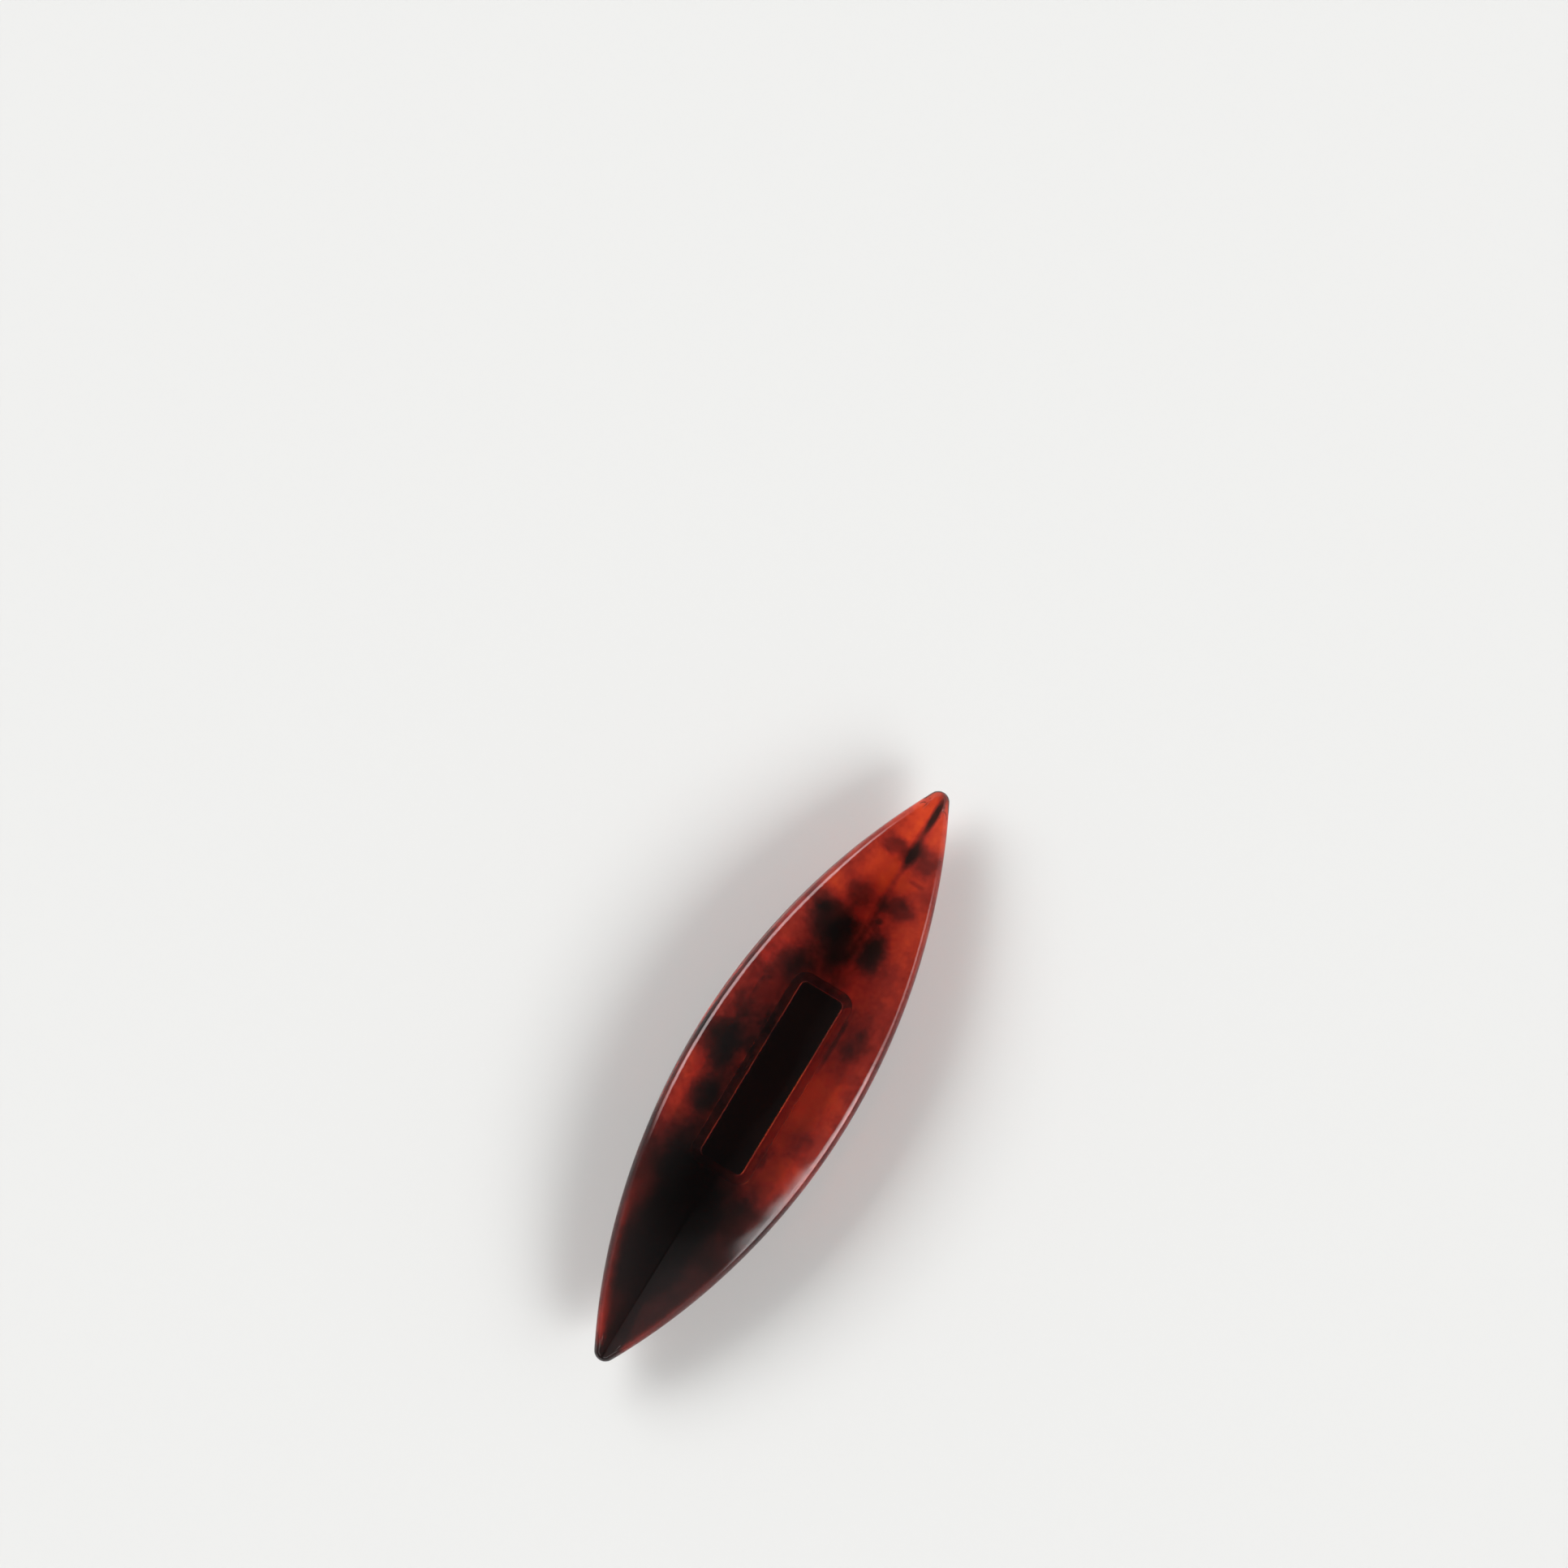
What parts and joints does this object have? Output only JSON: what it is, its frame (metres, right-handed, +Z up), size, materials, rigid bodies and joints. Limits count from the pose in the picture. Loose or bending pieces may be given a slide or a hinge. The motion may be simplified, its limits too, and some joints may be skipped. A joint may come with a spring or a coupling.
{
  "type": "tatting shuttle",
  "caption": "Hand shuttle for lace knots: curved pointed-oval blades, touching at the tips, held apart by a rectangular post with a thread hole.",
  "frame": {"origin": "middle of the shuttle, halfway between the ridges and halfway between the tips, on the axis of the post's cross hole", "axes": "+X along the shuttle towards one tip, +Y across its width along the post's cross hole, +Z up through the upper blade's ridge"},
  "size_m": [0.065, 0.0174, 0.0116],
  "materials": {
    "upper_blade": "polished translucent tortoiseshell, orange-red with brown-black clouds",
    "lower_blade": "polished translucent tortoiseshell, orange-red with brown-black clouds",
    "post": "satin black moulded plastic"
  },
  "bodies": {
    "root": {"upper_blade": "upper_blade", "lower_blade": "lower_blade", "post": "post"}
  },
  "joints": []
}
